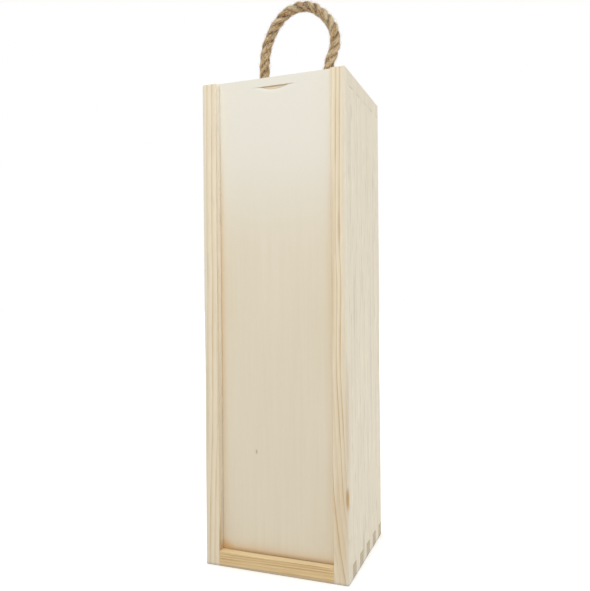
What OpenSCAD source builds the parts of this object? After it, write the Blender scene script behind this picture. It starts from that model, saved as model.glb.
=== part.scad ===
// Single-bottle wooden gift box with a sliding front lid and a knotted rope handle.
// Millimetres. +Z is up, the lid faces -Y, and the origin is the middle of the base.

/* [Box] */
// Outer height of the box without its handle
box_h = 360; // [300:1:450]
// Outer width, from side to side
box_w = 111; // [100:1:180]
// Outer depth, from front to back
box_d = 100; // [90:1:180]
// Thickness of the two side boards
side_t = 11; // [9:0.5:14]
// Thickness of the top and bottom boards
end_t = 11; // [9:0.5:14]

/* [Finger joints] */
// Fingers on each end of a side board, which the top and bottom boards match
side_fingers = 5; // [3:1:8]

/* [Sliding lid] */
// Thickness of the plywood lid
lid_t = 3; // [2.5:0.1:4]
// Depth of the lid's face behind the front edges of the box
lid_recess = 6.8; // [4:0.1:9]
// Height of the closed lid's top edge above the top of the box
lid_proud = 1.8; // [0:0.1:4]
// Depth of the grooves that guide the lid's long edges
lid_groove_depth = 4.5; // [3:0.1:5]
// Depth of the groove in the bottom board that the closed lid stands in
lid_seat_depth = 3; // [2:0.1:5]
// Play between each face of the lid and its groove
lid_face_play = 0.2; // [0.1:0.05:0.5]
// Play between each long edge of the lid and the bottom of its groove
lid_edge_play = 0.4; // [0.2:0.05:1]

/* [Thumb notch] */
// Length of the notch's straight upper edge
notch_w = 33; // [20:1:40]
// Height of the notch, from its upper edge to where its ramp runs out
notch_h = 5; // [3:0.5:10]
// Deepest point of the notch, at its upper edge
notch_depth = 1.2; // [1:0.1:2]
// Distance from the lid's top edge down to the notch
notch_drop = 6.5; // [4:0.5:12]

/* [Back panel] */
// Thickness of the plywood back panel
back_t = 3; // [2.5:0.1:4]
// Depth of the back panel's outer face behind the rear edges of the box
back_recess = 5; // [3:0.5:8]
// Depth of the grooves that hold the back panel all round
back_groove_depth = 4; // [3:0.1:5]
// Play between the back panel and its grooves, on each face and edge
back_play = 0.1; // [0.05:0.05:0.3]

/* [Rope handle] */
// Diameter of the rope
rope_d = 8; // [6:0.5:8]
// Play between the rope and the wall of its hole, all round
rope_hole_play = 0.3; // [0.2:0.05:0.5]
// Distance between the centres of the two rope holes
rope_spacing = 52; // [48:1:60]
// Distance of the rope holes behind the middle of the box
rope_set_back = 3; // [0:1:6]
// Diameter of the knot under the top board
knot_d = 21; // [18:0.5:24]
// Height of the knot
knot_h = 18; // [15:0.5:20]
// Radius that rounds the knot's upper and lower edges
knot_round = 7; // [4:0.5:7]
// Length of the rope's tail below the knot
tail_h = 10; // [5:1:20]
// Gap that lets the handle's foot turn above the top board
fold_gap = 0.3; // [0.2:0.05:0.5]

/* [Hidden] */

// How far a cut runs past a face that it opens
past = 1;
$fn = 64;

// Space between the side boards and between the end boards
inner_w = box_w - 2 * side_t;
front_y = -box_d / 2;
rear_y = box_d / 2;

// The lid and its groove, measured from the front edges
lid_face_y = front_y + lid_recess;
lid_groove_w = lid_t + 2 * lid_face_play;
lid_groove_y = lid_face_y - lid_face_play;
lid_seat_z = end_t - lid_seat_depth;
lid_w = inner_w + 2 * (lid_groove_depth - lid_edge_play);
lid_h = box_h + lid_proud - lid_seat_z;

// The front finger is as deep as the lip and the groove, so the lid passes the top board
finger_count = 2 * side_fingers;
front_finger = lid_groove_y + lid_groove_w - front_y;
finger_w = (box_d - front_finger) / (finger_count - 1);
function finger_y(i) = i == 0 ? front_y : front_y + front_finger + (i - 1) * finger_w;
function finger_depth(i) = i == 0 ? front_finger : finger_w;

// The notch is cut by a leaning cylinder whose chord is notch_w where it is notch_depth deep
notch_r = (notch_w * notch_w / 4 + notch_depth * notch_depth) / (2 * notch_depth);
notch_lean = atan(notch_depth / notch_h);
notch_z = box_h + lid_proud - notch_drop;

// The back panel and its groove, measured from the rear edges
back_face_y = rear_y - back_recess;
back_groove_w = back_t + 2 * back_play;
back_groove_y = back_face_y - back_t - back_play;
back_groove_half = inner_w / 2 + back_groove_depth;

// The handle's foot turns about an axis this far above the top board
rope_r = rope_d / 2;
rope_hole_r = rope_r + rope_hole_play;
fold_axis_h = rope_r + fold_gap;
rope_sides = 12;
// The foot's rounding, as angles below the fold axis
foot_angles = [75, 50, 25];

// The rope's middle line: distance to the right, and height above the top board
rope_route = [
  [-26, fold_axis_h],
  [-26.5, 11],
  [-27, 19],
  [-27, 27],
  [-26.5, 35],
  [-25, 43],
  [-21.5, 52],
  [-16.5, 60],
  [-10, 66.5],
  [-2, 70.5],
  [6, 71.5],
  [14, 69.5],
  [21, 64.5],
  [27, 58],
  [31.5, 50],
  [33, 42],
  [32, 34],
  [29, 26],
  [27, 18],
  [26, 11],
  [26, fold_axis_h]
];

// Direction of the route at a point, and the ring of points round it there
function along(p, i) = p[min(i + 1, len(p) - 1)] - p[max(i - 1, 0)];
function ring(centre, way, r) = [
  for (k = [0:rope_sides - 1])
    let (
      turn = 360 * k / rope_sides,
      unit = way / norm(way),
      out = r * cos(turn)
    )
    [centre[0] + out * unit[1], r * sin(turn), centre[1] - out * unit[0]]
];

// A ring of a rounded foot, a below the fold axis, with the rope running up or down
function foot_ring(x, a, up) = ring([x, fold_axis_h - rope_r * sin(a)], [0, up], rope_r * cos(a));

// Rings of the whole handle; the second foot is the first one turned to run downwards
function handle_rings(p) =
  let (last = len(p) - 1, angles = len(foot_angles) - 1)
  concat(
    [for (a = foot_angles) foot_ring(p[0][0], a, 1)],
    [for (i = [0:last]) ring(p[i], i == 0 ? [0, 1] : i == last ? [0, -1] : along(p, i), rope_r)],
    [for (k = [angles:-1:0]) foot_ring(p[last][0], foot_angles[k], -1)]
  );

// Triangles between the rings, and the flat caps at both ends
function tube_faces(rings) =
  let (n = rope_sides, last = (len(rings) - 1) * n)
  concat(
    [for (i = [0:len(rings) - 2], k = [0:n - 1]) let (m = (k + 1) % n)
      [i * n + k, i * n + m, (i + 1) * n + m]],
    [for (i = [0:len(rings) - 2], k = [0:n - 1]) let (m = (k + 1) % n)
      [i * n + k, (i + 1) * n + m, (i + 1) * n + k]],
    [[for (k = [n - 1:-1:0]) k]],
    [[for (k = [0:n - 1]) last + k]]
  );

// A block given by its lowest corner and its size
module block(x, y, z, w, d, h) {
  translate([x, y, z]) cube([w, d, h]);
}

// Notches at one end of a side board, where the fingers of an end board go in
module side_notches(x, z) {
  for (i = [1:2:finger_count - 1]) {
    depth = finger_depth(i) + (i == finger_count - 1 ? past : 0);
    block(x - past, finger_y(i), z, side_t + 2 * past, depth, end_t + past);
  }
}

// The left side board, with its inner face at -inner_w / 2
module side_board() {
  difference() {
    block(-box_w / 2, front_y, 0, side_t, box_d, box_h);
    side_notches(-box_w / 2, -past);
    side_notches(-box_w / 2, box_h - end_t);
    lid_groove();
    back_groove();
  }
}

// Groove for the lid's long edge, open at the top of the box
module lid_groove() {
  x = -inner_w / 2 - lid_groove_depth;
  block(x, lid_groove_y, lid_seat_z, lid_groove_depth + past, lid_groove_w, box_h);
}

// Groove for the back panel's long edge
module back_groove() {
  block(-back_groove_half, back_groove_y, -past, back_groove_depth + past, back_groove_w, box_h + 2 * past);
}

module left_side_board() {
  color([0.86, 0.79, 0.68]) side_board();
}

module right_side_board() {
  color([0.85, 0.77, 0.65]) mirror([1, 0, 0]) side_board();
}

// An end board between the sides, with its fingers, from the finger first to the rear
module end_blank(first, z) {
  block(-inner_w / 2, finger_y(first), z, inner_w, rear_y - finger_y(first), end_t);
  for (i = [1:2:finger_count - 1])
    block(-box_w / 2, finger_y(i), z, box_w, finger_depth(i), end_t);
}

// Slot in an end board for an edge of the back panel, from z upwards
module back_slot(z, h) {
  block(-back_groove_half, back_groove_y, z, 2 * back_groove_half, back_groove_w, h);
}

// Groove across the bottom board that the closed lid stands in
module lid_seat() {
  x = inner_w / 2 + past;
  block(-x, lid_groove_y, lid_seat_z, 2 * x, lid_groove_w, lid_seat_depth + past);
}

module bottom_board() {
  color([0.8, 0.67, 0.46]) difference() {
    end_blank(0, 0);
    lid_seat();
    back_slot(end_t - back_groove_depth, back_groove_depth + past);
  }
}

module top_board() {
  color([0.84, 0.75, 0.6]) difference() {
    end_blank(1, box_h - end_t);
    back_slot(box_h - end_t - past, back_groove_depth + past);
    for (side = [-1, 1])
      translate([side * rope_spacing / 2, rope_set_back, box_h - end_t - past])
        cylinder(r = rope_hole_r, h = end_t + 2 * past);
  }
}

module back_panel() {
  w = 2 * (back_groove_half - back_play);
  z = end_t - back_groove_depth + back_play;
  color([0.87, 0.8, 0.68])
    block(-w / 2, back_face_y - back_t, z, w, back_t, box_h - 2 * z);
}

// The leaning cylinder, kept below the notch's level upper edge
module notch_cutter() {
  intersection() {
    translate([0, lid_face_y + notch_depth, notch_z])
      rotate([-notch_lean, 0, 0])
        translate([0, -notch_r, -4 * notch_h])
          cylinder(r = notch_r, h = 8 * notch_h, $fn = 180);
    block(-notch_w, lid_face_y - past, notch_z - 2 * notch_h, 2 * notch_w, lid_t, 2 * notch_h);
  }
}

module sliding_lid() {
  color([0.9, 0.86, 0.77]) difference() {
    block(-lid_w / 2, lid_face_y, lid_seat_z, lid_w, lid_t, lid_h);
    notch_cutter();
  }
}

// The free loop of the rope, from the fold axis over one hole to the other
module rope_handle() {
  rings = handle_rings(rope_route);
  points = [for (r = rings, q = r) q];
  color([0.74, 0.62, 0.44])
    translate([0, rope_set_back, box_h])
      polyhedron(points = points, faces = tube_faces(rings));
}

// Half outline of the knot, with rounded edges
module knot_outline() {
  r = knot_d / 2;
  intersection() {
    square([r, knot_h]);
    union() {
      square([r - knot_round, knot_h]);
      translate([0, knot_round]) square([r, knot_h - 2 * knot_round]);
      for (z = [knot_round, knot_h - knot_round])
        translate([r - knot_round, z]) circle(r = knot_round);
    }
  }
}

// One knotted rope end: the stretch in the hole, the knot under the board and its tail
module knot(side) {
  color([0.7, 0.57, 0.39])
    translate([side * rope_spacing / 2, rope_set_back, box_h - end_t]) {
      cylinder(r = rope_r, h = end_t);
      translate([0, 0, -knot_h]) rotate_extrude() knot_outline();
      translate([0, 0, -knot_h - tail_h]) cylinder(r = rope_r, h = tail_h + knot_h / 2);
    }
}

module left_knot() {
  knot(-1);
}

module right_knot() {
  knot(1);
}

left_side_board();
right_side_board();
bottom_board();
top_board();
back_panel();
sliding_lid();
rope_handle();
left_knot();
right_knot();
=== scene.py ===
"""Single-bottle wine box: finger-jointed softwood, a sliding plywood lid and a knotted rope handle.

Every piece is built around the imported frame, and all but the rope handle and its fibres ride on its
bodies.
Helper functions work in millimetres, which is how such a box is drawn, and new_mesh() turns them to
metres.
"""

import math

import bmesh
import bpy
import numpy as np
from bpy.props import FloatProperty, FloatVectorProperty, IntProperty, PointerProperty
from mathutils import Matrix, Vector


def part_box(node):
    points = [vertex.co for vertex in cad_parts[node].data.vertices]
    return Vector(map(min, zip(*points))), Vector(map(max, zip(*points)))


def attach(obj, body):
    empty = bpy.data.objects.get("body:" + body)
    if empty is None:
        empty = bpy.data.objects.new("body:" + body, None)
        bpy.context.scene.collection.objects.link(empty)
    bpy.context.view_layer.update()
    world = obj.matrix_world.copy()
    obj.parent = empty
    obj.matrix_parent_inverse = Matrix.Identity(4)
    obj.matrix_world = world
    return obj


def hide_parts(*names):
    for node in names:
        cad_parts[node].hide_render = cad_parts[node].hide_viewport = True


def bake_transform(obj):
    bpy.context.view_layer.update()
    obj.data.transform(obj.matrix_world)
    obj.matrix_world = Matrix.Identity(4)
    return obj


bl_info = {
    "name": "Wooden wine box",
    "version": (1, 0, 0),
    "blender": (4, 5, 0),
    "location": "View3D > Sidebar > Wine Box",
    "description": "Builds a single-bottle wooden box with a sliding lid and a rope handle",
    "category": "Add Mesh",
}

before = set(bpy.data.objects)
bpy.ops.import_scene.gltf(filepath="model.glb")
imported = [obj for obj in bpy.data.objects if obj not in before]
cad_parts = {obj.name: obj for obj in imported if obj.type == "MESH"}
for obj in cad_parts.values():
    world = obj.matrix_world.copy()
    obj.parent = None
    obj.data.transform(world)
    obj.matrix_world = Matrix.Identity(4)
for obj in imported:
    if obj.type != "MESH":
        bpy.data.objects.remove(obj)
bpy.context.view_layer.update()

MM = 0.001
# Two places count as the same within this, in mm
NEAR = 0.001


def corners(node):
    """Lowest and highest corner of a CAD node, in mm."""
    return [np.array(corner, float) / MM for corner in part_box(node)]


LEFT_BOARD = corners("left_side_board")
RIGHT_BOARD = corners("right_side_board")
BOTTOM_BOARD = corners("bottom_board")
TOP_BOARD = corners("top_board")
LID = corners("sliding_lid")
BACK_PANEL = corners("back_panel")
KNOTS = {"left": corners("left_knot"), "right": corners("right_knot")}

# The box's outer corners, its half width inside, and the inner faces of its end boards
BOX_LOW, BOX_HIGH = LEFT_BOARD[0], RIGHT_BOARD[1]
INNER_X = RIGHT_BOARD[0][0]
FLOOR_Z = BOTTOM_BOARD[1][2]
CEILING_Z = TOP_BOARD[0][2]

# Plays between the plywood sheets and their grooves, as in the frame
LID_FACE_PLAY, LID_EDGE_PLAY, PANEL_PLAY = 0.2, 0.4, 0.1

# Ten fingers stand across the depth: the first is as deep as the lip and the lid's groove together
FINGERS = 10
FRONT_FINGER = TOP_BOARD[0][1] - BOX_LOW[1]
FINGER = (BOX_HIGH[1] - TOP_BOARD[0][1]) / (FINGERS - 1)

# The rope's middle line over the top board: distance to the right, and height above the board
ROPE_ROUTE = (
    (-26, 4.3), (-26.5, 11), (-27, 19), (-27, 27), (-26.5, 35), (-25, 43), (-21.5, 52),
    (-16.5, 60), (-10, 66.5), (-2, 70.5), (6, 71.5), (14, 69.5), (21, 64.5), (27, 58),
    (31.5, 50), (33, 42), (32, 34), (29, 26), (27, 18), (26, 11), (26, 4.3),
)
# How strongly painted shade browns the lid beside the lips, at heights over the base
MARGIN_SHADE = ((0, 0.4), (60, 0.5), (120, 0.8), (200, 1.0), (275, 0.8), (320, 0.25), (362, 0))
# How far the growth lines lean to the right at heights over the base
RIGHT_LEAN = (
    (0, 12), (8, 11), (20, 9), (35, 7.1), (45, 5.9), (60, 4.4), (80, 3.4), (100, 2.4), (120, 1.4),
    (142, 0.3), (160, 0), (190, 0.6), (210, 0.8), (228, 0.3), (250, 0), (300, 0.5), (340, 1.1),
    (362, 1.4),
)
LEFT_LEAN = (
    (0, -4), (35, -3.3), (60, -2.5), (90, -1.3), (120, -0.8), (145, -0.5), (175, -0.3), (212, 0.3),
    (245, 0), (295, 0.2), (335, 0.7), (362, 1),
)
# Growth lines of the right side board: place across the thickness, and strength
RIGHT_YEARS = (
    (26, 0.3), (30, 0.3), (34, 0.4), (37.5, 0.3), (41.3, 1), (44.9, 0.3), (48, 0.9), (50.8, 1),
    (53.7, 0.15), (57, 0.2), (61, 0.2),
)
# Growth lines of the bottom board, in the same way
BOTTOM_YEARS = (
    (-3, 0.4), (0.5, 0.7), (3.6, 0.5), (6.8, 0.5), (9.4, 0.4), (11.4, 1), (12.9, 0.6), (14.5, 1),
    (16.5, 0.5), (20, 0.8), (23.5, 0.4), (27, 0.7), (31, 0.5), (35, 0.6),
)
# The rope's holes: distance from the middle to each side and to the rear, radius, and eased edge
ROPE_X, ROPE_Y = 26.0, 3.0
ROPE_HOLE_RADIUS, ROPE_HOLE_EASE = 4.3, 0.8
# Radius of one strand as a share of the rope's diameter
STRAND_SHARE = 0.262
# The camera's place in metres, its azimuth, elevation and roll in degrees, and its lens in mm
CAMERA_PLACE = (0.172457, -0.463969, 0.202577)
CAMERA_TURN = (20.5356, 0.1366, -0.4965)
CAMERA_LENS = 37.865
# How far the floor reaches from the box on each side, in metres
FLOOR_REACH = 6.0


def length(name, description, mm, low, high):
    """A length property, in metres, from values in mm."""
    return FloatProperty(
        name=name, description=description, default=mm * MM, min=low * MM, max=high * MM,
        unit="LENGTH", precision=5,
    )


def tint(name, description, red, green, blue):
    """A colour property, given as it shows on screen, 0 to 255."""
    return FloatVectorProperty(
        name=name, description=description, subtype="COLOR_GAMMA", size=3, min=0, max=1,
        default=(red / 255, green / 255, blue / 255),
    )


def amount(name, description, value, low=0.0, high=1.0):
    """A plain number property."""
    return FloatProperty(name=name, description=description, default=value, min=low, max=high)


class WineBoxWood(bpy.types.PropertyGroup):
    """Sizes and colours of the boards."""

    arris: length("Outer arris", "Radius of the box's sanded outer edges", 0.7, 0.2, 2)
    inner_arris: length("Inner arris", "Radius of the eased edges round the openings", 0.4, 0.1, 1)
    joint: length("Joint line", "Half the hairline between two fingers", 0.02, 0.01, 0.2)
    side_light: tint("Side earlywood", "Pale wood of the side boards", 240, 229, 206)
    side_dark: tint("Side latewood", "Growth lines of the side boards", 202, 171, 124)
    side_broad: tint("Side face", "What the side boards' broad faces tend to", 228, 221, 205)
    end_light: tint("End earlywood", "Pale wood of the top and bottom boards", 233, 207, 160)
    end_dark: tint("End latewood", "Growth lines of the top and bottom boards", 178, 140, 88)
    # Painted light: the base's upper face is paler, as it looks up at the lamps
    painted_base_light: tint("Base face", "What the base's upper face tends to", 245, 223, 182)
    cut: tint("End grain", "What end grain tends to", 190, 166, 132)
    foot: tint("Foot", "Greyer end grain at the foot, where the box has stood", 183, 177, 162)
    # Painted light: paler colour on the left board's inner face behind the lip, which the recess shades
    inner: tint("Inner face", "Paler wood of the left side board behind the lip", 252, 244, 228)
    # Partly dust, partly painted contact shadow where the box meets the floor
    dust_and_shade: tint("Dust", "Grey along the lowest edges", 146, 152, 162)
    # Painted shadow: a dark line in the gap where the lid stands in the base
    gap: tint("Gap", "Dark line on the base where the lid stands", 112, 82, 48)
    pitch: tint("Pitch", "Resin marks in the right side board", 188, 143, 84)


class WineBoxPlywood(bpy.types.PropertyGroup):
    """Sizes and colours of the lid and the back panel."""

    arris: length("Arris", "Radius of the sheets' eased edges", 0.3, 0.1, 0.8)
    veneer: length("Veneer", "Thickness of each face veneer", 0.7, 0.3, 1.2)
    notch_height: length("Notch height", "Height of the thumb notch", 5, 3, 10)
    notch_depth: length("Notch depth", "Depth of the thumb notch at its upper edge", 1.2, 1, 2)
    notch_width: length("Notch width", "Length of the notch's upper edge", 33, 20, 40)
    notch_drop: length("Notch drop", "From the lid's top edge to the notch", 6.5, 4, 12)
    face: tint("Lid veneer", "Face veneer of the lid", 233, 224, 205)
    fibre: tint("Lid fibre", "Darker fibre in the lid's veneer", 222, 209, 184)
    panel: tint("Back veneer", "Face veneer of the back panel", 229, 215, 188)
    # Painted shade: the brown that the lid's veneer turns beside the lips and over the sill, where the
    # recess shades it
    margin: tint("Lid margin", "Browner veneer beside the lips and over the sill", 210, 168, 104)
    # Painted light: the lid's veneer turns paler and greyer towards its top edge, where light from above
    # falls strongest
    painted_top_light: tint("Lid top", "Greyer veneer towards the lid's top edge", 234, 230, 219)
    core: tint("Core", "Inner layer, seen at the edges and in the notch", 227, 212, 185)
    # The glue colour is also painted as shade under the notch's upper edge and at the lid's foot
    glue: tint("Glue line", "Thin line between two layers", 186, 160, 122)


class WineBoxRope(bpy.types.PropertyGroup):
    """Sizes and colours of the rope."""

    diameter: length("Diameter", "Diameter of the rope", 8, 6, 8)
    pitch: length("Lay", "Length of one turn of a strand round the rope", 24, 14, 30)
    knot_diameter: length("Knot rope", "Diameter of the rope where the knot squeezes it", 6.4, 5, 7)
    fuzz: IntProperty(name="Fuzz", description="Loose fibres on the handle", default=9000, min=0)
    # Partly pale fibres, partly a painted highlight on the strands' tops
    light: tint("Light fibre", "Palest fibres", 219, 204, 171)
    loose: tint("Loose fibre", "Fibres that have worked loose", 236, 227, 207)
    middle: tint("Middle fibre", "Most of the rope", 189, 141, 91)
    green: tint("Green fibre", "Patches of greener fibre", 174, 150, 94)
    # Painted shade in the crevices, and fibres that are dark of themselves
    dark: tint("Dark fibre", "Crevices and dark fibres", 84, 46, 18)


class WineBoxStage(bpy.types.PropertyGroup):
    """Light and floor."""

    key: amount("Key", "Power of the light above the front, in watts", 3.95, 0, 200)
    key_tint: tint("Key tint", "Colour of the light above the front", 247, 252, 255)
    side: amount("Side", "Power of the large light on the right, in watts", 7.2, 0, 200)
    side_tint: tint("Side tint", "Colour of the lights on the right and behind", 247, 252, 255)
    rear: amount("Rear", "Power of the large light behind the left side, in watts", 7, 0, 200)
    fill: amount("Fill", "Strength of the even light from all round", 0.585, 0, 2)
    fill_tint: tint("Fill tint", "Colour of the even light from all round", 255, 249, 240)
    floor: tint("Floor", "Colour of the floor", 224, 224, 224)


def linear(colour):
    """A colour as it shows on screen, turned into the values that shaders and lamps take."""
    values = [c / 12.92 if c <= 0.04045 else ((c + 0.055) / 1.055) ** 2.4 for c in colour]
    return (*values, 1.0)


def new_mesh(name, points, faces):
    """A mesh from points in mm and their faces."""
    mesh = bpy.data.meshes.new(name)
    mesh.from_pydata((np.asarray(points) * MM).tolist(), [], [list(map(int, f)) for f in faces])
    return mesh


def placed(name, data, material=None):
    """A mesh with its material, or a lamp or camera, as an object in the scene."""
    if material:
        data.materials.append(material)
    thing = bpy.data.objects.new(name, data)
    bpy.context.scene.collection.objects.link(thing)
    return thing


def new_piece(name, points, faces, material, merge=0.0):
    """An object from points in mm and their faces, with its normals outwards."""
    mesh = new_mesh(name, points, faces)
    work = bmesh.new()
    work.from_mesh(mesh)
    if merge:
        bmesh.ops.remove_doubles(work, verts=work.verts, dist=merge * MM)
    bmesh.ops.recalc_face_normals(work, faces=work.faces)
    work.to_mesh(mesh)
    work.free()
    return placed(name, mesh, material)


def crisp(piece):
    """Smooth small roundings beside flat faces that stay flat."""
    piece.data.shade_smooth()
    piece.data.set_sharp_from_angle(angle=math.radians(40))
    weighted = piece.modifiers.new("Flat faces", "WEIGHTED_NORMAL")
    weighted.keep_sharp = True


def unit_rows(rows):
    """Directions made one unit long."""
    return rows / np.linalg.norm(rows, axis=-1, keepdims=True)


# Timber shapes


def carve(solid, cut, planes, left_open=()):
    """Quads round what is in a solid block and in no cut. Blocks are (low, high) corners in mm.

    planes adds grid planes on each axis, where arrises need them. The level faces inside the
    left_open blocks are left out, for a drilled hole's collar.
    """
    axes = []
    for k in range(3):
        low = min(block[0][k] for block in solid)
        high = max(block[1][k] for block in solid)
        places = {round(float(corner[k]), 4) for block in [*solid, *cut] for corner in block}
        places |= {round(float(p), 4) for p in planes[k]}
        axes.append(np.array(sorted(p for p in places if low - 1e-6 <= p <= high + 1e-6)))
    centres = np.stack(np.meshgrid(*[(a[1:] + a[:-1]) / 2 for a in axes], indexing="ij"), -1)

    def inside(blocks):
        found = np.zeros(centres.shape[:3], bool)
        for low, high in blocks:
            found |= ((centres > low) & (centres < high)).all(-1)
        return found

    wood = inside(solid) & ~inside(cut)
    bare = inside(left_open)
    around = np.pad(wood, 1)
    sizes = [len(a) for a in axes]
    quads = []
    for k in range(3):
        u, v = (k + 1) % 3, (k + 2) % 3
        for side in (1, -1):
            beyond = np.roll(around, -side, axis=k)[1:-1, 1:-1, 1:-1]
            seen = wood & ~beyond
            if k == 2:
                seen &= ~bare
            cells = np.argwhere(seen)
            cells[:, k] += side > 0
            ring = []
            for du, dv in ((0, 0), (1, 0), (1, 1), (0, 1))[:: side]:
                corner = cells.copy()
                corner[:, u] += du
                corner[:, v] += dv
                ring.append(np.ravel_multi_index(tuple(corner.T), sizes))
            quads.append(np.stack(ring, 1))
    used, quads = np.unique(np.concatenate(quads), return_inverse=True)
    spots = np.unravel_index(used, sizes)
    points = np.stack([axis[spot] for axis, spot in zip(axes, spots)], 1)
    return points, quads.reshape(-1, 4)


def tube(rings, sides):
    """Quads between rings of points that follow each other, each ring with that many sides."""
    ring = np.arange(rings - 1)[:, None] * sides
    base, beside = ring + np.arange(sides), ring + (np.arange(sides) + 1) % sides
    return np.stack([base, beside, beside + sides, base + sides], -1).reshape(-1, 4)


def arris_planes(place, side, radius):
    """Grid planes for a quarter round of four facets on the wood that lies on one side of place."""
    return [place + side * radius, place + side * radius * (1 - math.tan(math.pi / 8))]


def box_planes(low, high, radius):
    """Grid planes for rounding a whole block."""
    return [
        arris_planes(low[k], 1, radius) + arris_planes(high[k], -1, radius) for k in range(3)
    ]


def round_box(points, low, high, radius):
    """Rounds every outer edge and corner of a block."""
    core = np.clip(points, low + radius, high - radius)
    away = points - core
    reach = np.linalg.norm(away, axis=1)
    out = reach > radius + 1e-9
    points[out] = core[out] + away[out] * (radius / reach[out])[:, None]


def round_arris(points, first, second, span, radius):
    """Rounds one straight edge between two faces.

    first and second are (axis, place, side), where side points from the face into the wood, and
    span is (axis, low, high) along the edge.
    """
    (a, place_a, side_a), (b, place_b, side_b) = first, second
    axis, low, high = span
    depth_a = side_a * (points[:, a] - place_a)
    depth_b = side_b * (points[:, b] - place_b)
    near = (depth_a > -NEAR) & (depth_a < radius) & (depth_b > -NEAR) & (depth_b < radius)
    near &= (points[:, axis] > low - NEAR) & (points[:, axis] < high + NEAR)
    away = np.stack([radius - depth_a, radius - depth_b], 1)
    reach = np.linalg.norm(away, axis=1)
    out = near & (reach > radius)
    away[out] *= (radius / reach[out])[:, None]
    points[out, a] = place_a + side_a * (radius - away[out, 0])
    points[out, b] = place_b + side_b * (radius - away[out, 1])


def finger_span(i):
    """Front and rear of one finger, counted from the front."""
    front = BOX_LOW[1] + (FRONT_FINGER + (i - 1) * FINGER if i else 0)
    return front, front + (FINGER if i else FRONT_FINGER)


def lid_groove():
    """Front, rear and bottom of the groove that the lid runs and stands in."""
    return LID[0][1] - LID_FACE_PLAY, LID[1][1] + LID_FACE_PLAY, LID[0][2]


def panel_groove():
    """Front and rear of the groove that holds the back panel."""
    return BACK_PANEL[0][1] - PANEL_PLAY, BACK_PANEL[1][1] + PANEL_PLAY


def side_board(side, wood):
    """Points and quads of one side board; side is -1 for the left one and 1 for the right one."""
    gap, radius, small = wood.joint / MM, wood.arris / MM, wood.inner_arris / MM
    low = np.array([INNER_X, BOX_LOW[1], BOX_LOW[2]])
    high = BOX_HIGH.copy()
    cut = []
    for i in range(1, FINGERS, 2):
        front, rear = finger_span(i)
        rear += 1 if i == FINGERS - 1 else gap
        cut.append(((low[0] - 1, front - gap, -1), (high[0] + 1, rear, FLOOR_Z + gap)))
        cut.append(((low[0] - 1, front - gap, CEILING_Z - gap), (high[0] + 1, rear, high[2] + 1)))
    front, rear, seat = lid_groove()
    cut.append(((low[0] - 1, front, seat), (LID[1][0] + LID_EDGE_PLAY, rear, high[2] + 1)))
    front, rear = panel_groove()
    cut.append(((low[0] - 1, front, -1), (BACK_PANEL[1][0] + PANEL_PLAY, rear, high[2] + 1)))
    planes = box_planes(BOX_LOW, BOX_HIGH, radius)
    for place, sign, axis in ((INNER_X, 1, 0), (low[1], 1, 1), (high[1], -1, 1)):
        planes[axis] += arris_planes(place, sign, small)
    planes[2] += [FLOOR_Z - 0.4, FLOOR_Z, CEILING_Z, CEILING_Z + 0.4]
    planes[2] += list(np.linspace(FLOOR_Z, CEILING_Z, 24))
    points, quads = carve([(low, high)], cut, planes)
    round_box(points, BOX_LOW, BOX_HIGH, radius)
    inner = (0, INNER_X, 1)
    round_arris(points, inner, (1, low[1], 1), (2, FLOOR_Z, high[2]), small)
    round_arris(points, inner, (1, high[1], -1), (2, FLOOR_Z, CEILING_Z), small)
    if side < 0:
        points[:, 0] *= -1
        quads = quads[:, ::-1]
    return points, quads


def end_board(first, low_z, wood, holes=()):
    """Points and quads of the top or bottom board, whose wood starts at the finger called first."""
    gap, radius, small = wood.joint / MM, wood.arris / MM, wood.inner_arris / MM
    high_z = low_z + FLOOR_Z
    is_bottom = low_z < FLOOR_Z
    front = finger_span(first)[0]
    inner = INNER_X - gap
    solid = [((-inner, front, low_z), (inner, BOX_HIGH[1], high_z))]
    for i in range(1, FINGERS, 2):
        near, far = finger_span(i)
        far = far if i == FINGERS - 1 else far - gap
        solid.append(((BOX_LOW[0], near + gap, low_z), (BOX_HIGH[0], far, high_z)))
    groove = panel_groove()
    half = BACK_PANEL[1][0] + PANEL_PLAY
    if is_bottom:
        near, far, seat = lid_groove()
        cut = [((-INNER_X - 1, near, seat), (INNER_X + 1, far, high_z + 1))]
        cut.append(((-half, groove[0], BACK_PANEL[0][2] - PANEL_PLAY), (half, groove[1], high_z + 1)))
        inside_z, into = high_z, -1
    else:
        cut = [((-half, groove[0], low_z - 1), (half, groove[1], BACK_PANEL[1][2] + PANEL_PLAY))]
        inside_z, into = low_z, 1
    planes = box_planes(BOX_LOW, BOX_HIGH, radius)
    planes[1] += arris_planes(front, 1, small) + arris_planes(BOX_HIGH[1], -1, small)
    planes[2] += arris_planes(inside_z, into, small)
    planes[0] += list(np.linspace(-inner, inner, 11))
    # A square of grid planes round each hole, which its collar meets
    collar = 1.5 * np.arange(-4, 5)
    for x in holes:
        planes[0] += list(x + collar)
        planes[1] += list(ROPE_Y + collar)
    drilled = [
        ((x + collar[0], ROPE_Y + collar[0], low_z - 1), (x + collar[-1], ROPE_Y + collar[-1], high_z + 1))
        for x in holes
    ]
    points, quads = carve(solid, cut, planes, drilled)
    round_box(points, BOX_LOW, BOX_HIGH, radius)
    across = (0, -inner, inner)
    round_arris(points, (1, front, 1), (2, inside_z, into), across, small)
    round_arris(points, (1, BOX_HIGH[1], -1), (2, inside_z, into), across, small)
    if not is_bottom:
        round_arris(points, (1, front, 1), (2, high_z, -1), across, small)
    parts, faces = [points], [quads]
    for x in holes:
        ring, skin = hole_collar(x, collar, low_z, high_z)
        faces.append(skin + sum(len(p) for p in parts))
        parts.append(ring)
    return np.concatenate(parts), np.concatenate(faces)


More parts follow.
